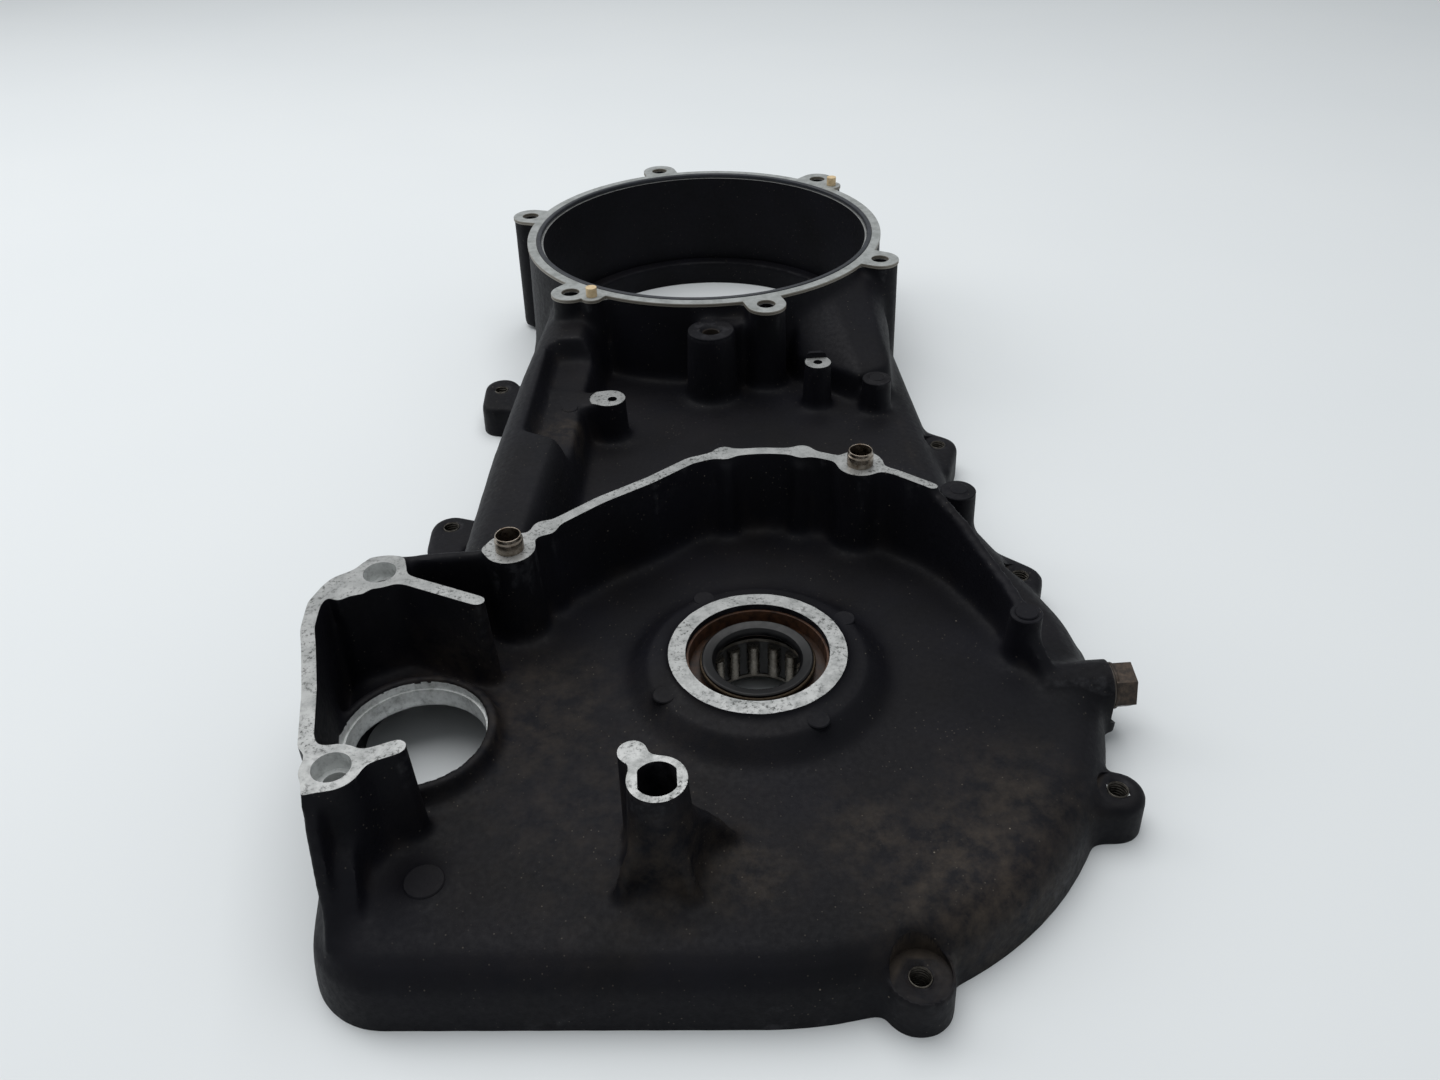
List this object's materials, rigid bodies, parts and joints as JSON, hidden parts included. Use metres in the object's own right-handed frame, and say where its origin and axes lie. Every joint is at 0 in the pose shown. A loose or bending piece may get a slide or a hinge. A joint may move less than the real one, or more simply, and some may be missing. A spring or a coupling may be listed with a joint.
{
  "type": "inner primary cover",
  "caption": "Cast inner primary cover, black coated, with a round engine flange and gasket, bolt pads, a mainshaft oil seal and bearing, a starter bore and a drain plug.",
  "frame": {"origin": "centre of the crank bore on the engine flange face", "axes": "+Z along the crank axis, out of the engine side; +Y from the mainshaft towards the crank; +X to the side of the drain plug"},
  "size_m": [0.304, 0.5929, 0.077],
  "materials": {
    "black_coat": "textured black powder coat on a cast light alloy, bare where machined",
    "gasket_paper": "grey faced gasket plate",
    "gasket_rubber": "moulded rubber",
    "gasket_pin": "tan plastic",
    "seal_case": "pressed steel with a brown film",
    "seal_rubber": "moulded rubber",
    "spring_wire": "wound steel wire",
    "bearing_steel": "ground bearing steel",
    "cage": "black moulded cage",
    "roller_steel": "ground bearing steel",
    "dowel_steel": "turned steel",
    "dark_steel": "dark oxide finish"
  },
  "bodies": {
    "cover": {"cover_casting": "black_coat", "crankcase_gasket": "gasket_paper", "gasket_bead": "gasket_rubber", "gasket_pin_1": "gasket_pin", "gasket_pin_2": "gasket_pin", "oil_seal_case": "seal_case", "oil_seal_lip": "seal_rubber", "seal_garter_spring": "spring_wire", "bearing_outer_ring": "bearing_steel", "bearing_retaining_ring": "dark_steel", "dowel_sleeve_left": "dowel_steel", "dowel_sleeve_right": "dowel_steel", "drain_plug": "dark_steel", "drain_sealing_ring": "gasket_rubber"},
    "cage": {"bearing_cage": "cage"},
    "roller_body_01": {"roller_01": "roller_steel"},
    "roller_body_02": {"roller_02": "roller_steel"},
    "roller_body_03": {"roller_03": "roller_steel"},
    "roller_body_04": {"roller_04": "roller_steel"},
    "roller_body_05": {"roller_05": "roller_steel"},
    "roller_body_06": {"roller_06": "roller_steel"},
    "roller_body_07": {"roller_07": "roller_steel"},
    "roller_body_08": {"roller_08": "roller_steel"},
    "roller_body_09": {"roller_09": "roller_steel"},
    "roller_body_10": {"roller_10": "roller_steel"},
    "roller_body_11": {"roller_11": "roller_steel"},
    "roller_body_12": {"roller_12": "roller_steel"},
    "roller_body_13": {"roller_13": "roller_steel"},
    "roller_body_14": {"roller_14": "roller_steel"}
  },
  "joints": [
    {"name": "cage_turn", "type": "hinge", "parent": "cover", "child": "cage", "pos_m": [0, -0.337, -0.0525], "axis": [0, 0, 1], "continuous": true},
    {"name": "roller_turn_01", "type": "hinge", "parent": "cage", "child": "roller_body_01", "pos_m": [0, -0.31855, -0.0525], "axis": [0, 0, 1], "continuous": true},
    {"name": "roller_turn_02", "type": "hinge", "parent": "cage", "child": "roller_body_02", "pos_m": [-0.00801, -0.32038, -0.0525], "axis": [0, 0, 1], "continuous": true},
    {"name": "roller_turn_03", "type": "hinge", "parent": "cage", "child": "roller_body_03", "pos_m": [-0.01442, -0.3255, -0.0525], "axis": [0, 0, 1], "continuous": true},
    {"name": "roller_turn_04", "type": "hinge", "parent": "cage", "child": "roller_body_04", "pos_m": [-0.01799, -0.33289, -0.0525], "axis": [0, 0, 1], "continuous": true},
    {"name": "roller_turn_05", "type": "hinge", "parent": "cage", "child": "roller_body_05", "pos_m": [-0.01799, -0.34111, -0.0525], "axis": [0, 0, 1], "continuous": true},
    {"name": "roller_turn_06", "type": "hinge", "parent": "cage", "child": "roller_body_06", "pos_m": [-0.01442, -0.3485, -0.0525], "axis": [0, 0, 1], "continuous": true},
    {"name": "roller_turn_07", "type": "hinge", "parent": "cage", "child": "roller_body_07", "pos_m": [-0.00801, -0.35362, -0.0525], "axis": [0, 0, 1], "continuous": true},
    {"name": "roller_turn_08", "type": "hinge", "parent": "cage", "child": "roller_body_08", "pos_m": [0, -0.35545, -0.0525], "axis": [0, 0, 1], "continuous": true},
    {"name": "roller_turn_09", "type": "hinge", "parent": "cage", "child": "roller_body_09", "pos_m": [0.00801, -0.35362, -0.0525], "axis": [0, 0, 1], "continuous": true},
    {"name": "roller_turn_10", "type": "hinge", "parent": "cage", "child": "roller_body_10", "pos_m": [0.01442, -0.3485, -0.0525], "axis": [0, 0, 1], "continuous": true},
    {"name": "roller_turn_11", "type": "hinge", "parent": "cage", "child": "roller_body_11", "pos_m": [0.01799, -0.34111, -0.0525], "axis": [0, 0, 1], "continuous": true},
    {"name": "roller_turn_12", "type": "hinge", "parent": "cage", "child": "roller_body_12", "pos_m": [0.01799, -0.33289, -0.0525], "axis": [0, 0, 1], "continuous": true},
    {"name": "roller_turn_13", "type": "hinge", "parent": "cage", "child": "roller_body_13", "pos_m": [0.01442, -0.3255, -0.0525], "axis": [0, 0, 1], "continuous": true},
    {"name": "roller_turn_14", "type": "hinge", "parent": "cage", "child": "roller_body_14", "pos_m": [0.00801, -0.32038, -0.0525], "axis": [0, 0, 1], "continuous": true}
  ],
  "couplings": [
    {"joint": "roller_turn_01", "follows": "cage_turn", "ratio": -8.4},
    {"joint": "roller_turn_02", "follows": "cage_turn", "ratio": -8.4},
    {"joint": "roller_turn_03", "follows": "cage_turn", "ratio": -8.4},
    {"joint": "roller_turn_04", "follows": "cage_turn", "ratio": -8.4},
    {"joint": "roller_turn_05", "follows": "cage_turn", "ratio": -8.4},
    {"joint": "roller_turn_06", "follows": "cage_turn", "ratio": -8.4},
    {"joint": "roller_turn_07", "follows": "cage_turn", "ratio": -8.4},
    {"joint": "roller_turn_08", "follows": "cage_turn", "ratio": -8.4},
    {"joint": "roller_turn_09", "follows": "cage_turn", "ratio": -8.4},
    {"joint": "roller_turn_10", "follows": "cage_turn", "ratio": -8.4},
    {"joint": "roller_turn_11", "follows": "cage_turn", "ratio": -8.4},
    {"joint": "roller_turn_12", "follows": "cage_turn", "ratio": -8.4},
    {"joint": "roller_turn_13", "follows": "cage_turn", "ratio": -8.4},
    {"joint": "roller_turn_14", "follows": "cage_turn", "ratio": -8.4}
  ]
}
